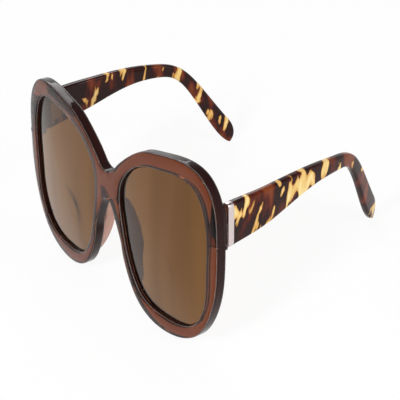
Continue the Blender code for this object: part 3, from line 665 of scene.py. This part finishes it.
def padSections():
    # seven-point slices that stand on the front's back, lean over the lens and end in a crest
    places = np.linspace(spans * pad["start"], spans * pad["end"], pad["along"] + 1)
    opening, away = openingAt(places), awayFromOpening(places)
    outer = outlineAt(np.minimum(places, archPlace))
    foot = front["thickness"] + pad["gap"]
    sections = []
    for i in range(len(places)):
        rise = max(math.sin(math.pi * i / pad["along"]), 0) ** pad["riseCurve"]
        height = pad["rise"] * rise
        lensSide = opening[i] + away[i] * (front["innerRound"] + pad["inset"])
        toward = outer[i] - lensSide
        width = np.linalg.norm(toward)
        toward /= width
        usable = min(width - front["backRound"] - pad["inset"], pad["widest"])
        noseSide = lensSide + toward * usable
        crest = lensSide - toward * pad["lean"] * rise + toward * pad["crest"]
        half = toward * min(pad["crest"], usable / 2) * pad["crestWidth"]
        waist, shoulder = foot + height * pad["waist"], foot + height * pad["shoulder"]
        sections.append([
            (lensSide, foot), (noseSide, foot), ((noseSide + crest + half) / 2, waist),
            (crest + half, shoulder), (crest, foot + height), (crest - half, shoulder),
            ((lensSide + crest - half) / 2, waist)])
    return sections


padRings = padSections()


def padSpot(u, v):
    point, depth = padRings[round(v * pad["along"])][round(u * pad["around"]) % pad["around"]]
    return Vector((point[0], frontDepth(*point) + depth, point[1]))


padPiece = bentGrid("nose_pad_fin_left", pad["around"], pad["along"], padSpot)
closeEnds(padPiece)
applyModifier(padPiece, "SUBSURF", levels=2, render_levels=2)
stand(padPiece)
for side, piece in (("left", padPiece), ("right", mirrorCopy(padPiece, "nose_pad_fin_right"))):
    finishPiece(piece, "front", ["nose_pad_" + side], padPlastic, pad["smoothDegrees"])

print("temples")
# places along a temple are shares of its reach, from the cap to the tip
temple = {
    "outerX": 0.0703, "startY": 0.0103984, "reach": 0.094, "thickness": 0.0038,
    "tipThickness": 0.003, "height": 0.0183, "waist": 0.0057, "tip": 0.0088,
    "edge": 0.0012, "edgeLimit": 0.8,
    "slope": math.radians(-4), "drop": 0.0422, "turnIn": 0.0076, "toeIn": 0.0081,
    "twist": math.radians(18), "twistStart": 0.62, "twistLength": 0.26,
    "straight": 0.013, "tipRound": 0.0054, "skew": 0.6, "tipThinning": 0.35,
    "heightPlaces": (0, 0.12, 0.255, 0.405, 0.545, 0.68, 0.785, 0.88, 0.95, 1),
    "taper": (1, 0.86, 0.63, 0.33, 0.12, 0.02, 0, 0, 0, 0),
    "swell": (0, 0, 0, 0, 0, 0, 0.06, 0.52, 0.9, 1),
    "bendPlaces": (0, 0.13, 0.3, 0.48, 0.62, 0.745, 0.85, 0.935, 1),
    "dropShares": (0, 0, 0, 0.013, 0.055, 0.175, 0.495, 0.795, 1),
    "toeShares": (0, 0, 0.12, 0.34, 0.61, 0.94, 1.12, 1.25, 1.34),
    "turnShares": (0, 0, 0, 0, 0, 0.12, 0.44, 0.75, 1),
    "along": 110, "corner": 6, "tipSteps": 14, "tipEnd": 0.35,
}


def templeHeights(places):
    # how tall the bar is: it tapers from the cap to the waist and swells again at the tail
    taper = smoothCurve(temple["heightPlaces"], temple["taper"], places)[:, 0]
    swell = smoothCurve(temple["heightPlaces"], temple["swell"], places)[:, 0]
    height = temple["waist"] + (temple["height"] - temple["waist"]) * taper
    return height + (temple["tip"] - temple["waist"]) * swell


def templePath(places):
    # the bar's middle: straight from the hinge, then inwards and down to the tip
    heights = templeHeights(places)
    drops, toes, turns = [smoothCurve(temple["bendPlaces"], temple[name], places)[:, 0]
                          for name in ("dropShares", "toeShares", "turnShares")]
    path = []
    for i, place in enumerate(places):
        along = place * temple["reach"]
        settle = ease(along / temple["straight"] - 1)
        inwards = toes[i] * temple["toeIn"] + turns[i] * temple["turnIn"]
        top = temple["height"] / 2 - along * math.tan(temple["slope"])
        path.append((
            temple["outerX"] - temple["thickness"] / 2 - inwards * settle,
            temple["startY"] + along,
            hinge["z"] + top - heights[i] / 2 - drops[i] * temple["drop"]))
    return np.array(path)


def roundedSection(halfHeight, halfWidth, radius):
    # a bar's cross section, as pairs of height and width
    radius = min(radius, halfHeight * temple["edgeLimit"], halfWidth * temple["edgeLimit"])
    section = []
    for up, side, first in ((1, 1, 0), (-1, 1, 1), (-1, -1, 2), (1, -1, 3)):
        for step in range(temple["corner"] + 1):
            angle = math.pi / 2 * (first + step / temple["corner"])
            section.append((
                up * (halfHeight - radius) + radius * math.cos(angle),
                side * (halfWidth - radius) + radius * math.sin(angle)))
    return section


def templePlaces(tipShare):
    # even steps along the bar, then closer ones where the tip rounds off
    steps = temple["tipSteps"]
    angles = math.pi / 2 * np.arange(1, steps + 1) / (steps + temple["tipEnd"])
    return np.concatenate([
        np.linspace(0, 1 - tipShare, temple["along"] - steps + 1),
        1 - tipShare * (1 - np.sin(angles))])


def templeSections():
    # the cross sections along the bar, which thins, twists at the tail and shrinks at the tip
    tipShare = temple["tipRound"] / temple["reach"]
    places = templePlaces(tipShare)
    heights, path = templeHeights(places), templePath(places)
    ahead = np.gradient(path, axis=0)
    sections = []
    for i, place in enumerate(places):
        direction = Vector((0, 1, 0)).lerp(
            Vector(ahead[i]).normalized(), ease(place * temple["reach"] / temple["straight"]))
        direction.normalize()
        levelUp = Vector((0, -direction.z, direction.y)).normalized()
        twist = temple["twist"] * ease((place - temple["twistStart"]) / temple["twistLength"])
        outward = direction.cross(levelUp)
        upward = (levelUp * math.cos(twist) - outward * math.sin(twist)).normalized()
        sideways = direction.cross(upward).normalized()
        thinned = ease((place * temple["reach"] - temple["straight"]) / temple["reach"])
        width = temple["thickness"] - (temple["thickness"] - temple["tipThickness"]) * thinned
        past = max((place - 1) / tipShare + 1, 0)
        shrink = math.sqrt(max(1 - past ** 2, 0))
        slim = 1 - (1 - shrink) * temple["tipThinning"]
        middle = Vector(path[i]) - upward * heights[i] / 2 * (1 - shrink) * temple["skew"]
        section = roundedSection(heights[i] / 2 * shrink, width / 2 * slim, temple["edge"])
        sections.append([middle + upward * rise + sideways * reach for rise, reach in section])
    return sections


barSections = templeSections()
barAround = len(barSections[0])


def barSpot(u, v):
    return barSections[round(v * temple["along"])][round(u * barAround) % barAround]


templePiece = bentGrid("tortoise_temple_left", barAround, temple["along"], barSpot)
closeEnds(templePiece)

# the end is cut down to a tenon that goes into the cap, and the hinge leaf lies in a recess
cap = {"wall": 0.0008, "length": 0.0026, "gap": 0.0003, "edge": 0.00025, "edgeSteps": 3,
       "sharpDegrees": 50, "cutHalf": 0.012, "tenonReach": 0.005}
leaf = {"length": 0.007, "thickness": 0.001, "gap": 0.0003}
insideX, startY = temple["outerX"] - temple["thickness"], temple["startY"]
shoulder = cap["wall"] + cap["gap"]
barLow, barHigh = hinge["z"] - temple["height"] / 2, hinge["z"] + temple["height"] / 2
barrelLow, barrelHigh = hinge["z"] - hinge["barrelHalf"], hinge["z"] + hinge["barrelHalf"]
collar = addBox(
    "collar",
    (insideX - overrun, startY - overrun, hinge["z"] - cap["cutHalf"]),
    (temple["outerX"] + overrun, startY + cap["length"], hinge["z"] + cap["cutHalf"]))
tenon = addBox(
    "tenon",
    (insideX - 2 * overrun, startY + shoulder, barLow + shoulder),
    (temple["outerX"] - shoulder, startY + cap["tenonReach"], barHigh - shoulder))
combine(collar, tenon)
combine(templePiece, collar)
combine(templePiece, addBox(
    "recess",
    (insideX - overrun, startY - overrun, barrelLow - leaf["gap"]),
    (insideX + leaf["thickness"] + leaf["gap"], hinge["y"] + leaf["length"] + leaf["gap"],
     barrelHigh + leaf["gap"])))
stand(templePiece)
temples = (("left", templePiece), ("right", mirrorCopy(templePiece, "tortoise_temple_right")))
for side, piece in temples:
    finishPiece(piece, side + "_temple", ["temple_" + side], tortoise)

print("caps and hinges")
for side, _ in sides:
    piece = copyMesh(nodes["end_cap_" + side], "plated_cap_" + side)
    weld(piece)
    applyModifier(piece, "BEVEL", width=cap["edge"], segments=cap["edgeSteps"],
                  limit_method="ANGLE", angle_limit=math.radians(cap["sharpDegrees"]))
    finishPiece(piece, side + "_temple", ["end_cap_" + side], capMetal)
for name in nodes:
    if "hinge" in name or "core" in name:
        dress(nodes[name], hingeMetal)

print("floor, lamps and camera")
bpy.ops.object.select_all(action="DESELECT")
studio = {"size": 6, "floor": "f7f6f5", "whiteShare": 0.9, "horizon": "ffffff", "horizonAt": 0.22,
          "zenith": "7c7c80", "zenithAt": 0.55, "worldStrength": 1, "lampAim": (0, 0, 0.04)}
bpy.ops.mesh.primitive_plane_add(size=studio["size"])
floorObject = bpy.context.object
floorObject.name = "floor"
floorPaint, tree, shader = newMaterial("pale_studio_floor", {
    "Base Color": hexColour(studio["floor"]),
    "Roughness": 0.9,
    "Specular IOR Level": 0,
})
# the camera, gloss and glass see the floor nearly white, with the object's shadow kept in it
ray = addNode(tree, "ShaderNodeLightPath")
either = addNode(tree, "ShaderNodeMath", {"operation": "MAXIMUM"}, links={
    0: ray.outputs["Is Camera Ray"], 1: ray.outputs["Is Glossy Ray"]})
seen = addNode(tree, "ShaderNodeMath", {"operation": "MAXIMUM"}, links={
    0: either.outputs[0], 1: ray.outputs["Is Transmission Ray"]})
share = addNode(tree, "ShaderNodeMath", {"operation": "MULTIPLY"}, {1: studio["whiteShare"]},
                {0: seen.outputs[0]})
white = addNode(tree, "ShaderNodeEmission", inputs={"Color": (1, 1, 1, 1), "Strength": 1})
mixed = addNode(tree, "ShaderNodeMixShader", links={
    0: share.outputs[0], 1: shader.outputs["BSDF"], 2: white.outputs["Emission"]})
tree.links.new(mixed.outputs["Shader"], tree.nodes["Material Output"].inputs["Surface"])
dress(floorObject, floorPaint)

# a plain white room whose ceiling is dimmer than its walls
world = bpy.data.worlds.new("soft_room")
scene.world = world
world.use_nodes = True
tree = world.node_tree
room = tree.nodes["Background"]
room.inputs["Strength"].default_value = studio["worldStrength"]
way = addNode(tree, "ShaderNodeTexCoord")
parts = addNode(tree, "ShaderNodeSeparateXYZ", links={"Vector": way.outputs["Generated"]})
sky = addRamp(tree, parts.outputs["Z"], (
    (studio["horizonAt"], studio["horizon"]), (studio["zenithAt"], studio["zenith"])))
tree.links.new(sky, room.inputs["Color"])

lamps = {
    "softbox": {"at": (0.25, -0.9, 0.9), "size": 0.3, "watts": 9},
    "sideLight": {"at": (1.0, 0.25, 0.7), "size": 0.6, "watts": 6},
    "backLight": {"at": (-0.9, 0.48, 0.72), "size": 0.6, "watts": 4},
}
for name, lamp in lamps.items():
    data = bpy.data.lights.new(name, "AREA")
    data.energy = lamp["watts"]
    data.size = lamp["size"]
    lampObject = bpy.data.objects.new(name, data)
    lampObject.location = lamp["at"]
    aim = Vector(studio["lampAim"]) - Vector(lamp["at"])
    lampObject.rotation_euler = aim.to_track_quat("-Z", "Y").to_euler()
    scene.collection.objects.link(lampObject)

# angles in degrees, the lens and the sensor in millimetres
camera = {
    "azimuth": 61.99,
    "elevation": 34.93,
    "roll": -15.36,
    "distance": 0.5451,
    "lens": 113.5,
    "sensor": 36,
    "clipStart": 0.01,
    "aim": (0.0065, -0.00468, 0.02363),
}
cameraData = bpy.data.cameras.new("camera")
cameraObject = bpy.data.objects.new("camera", cameraData)
scene.collection.objects.link(cameraObject)
turn, rise = math.radians(camera["azimuth"]), math.radians(camera["elevation"])
behind = Vector((math.sin(turn) * math.cos(rise), -math.cos(turn) * math.cos(rise), math.sin(rise)))
look = (-behind).to_track_quat("-Z", "Y").to_matrix().to_4x4()
roll = Matrix.Rotation(math.radians(camera["roll"]), 4, "Z")
place = Matrix.Translation(Vector(camera["aim"]) + behind * camera["distance"])
cameraObject.matrix_world = place @ look @ roll
cameraData.lens = camera["lens"]
cameraData.sensor_width = camera["sensor"]
cameraData.clip_start = camera["clipStart"]
scene.camera = cameraObject

scene.view_settings.view_transform = "Standard"
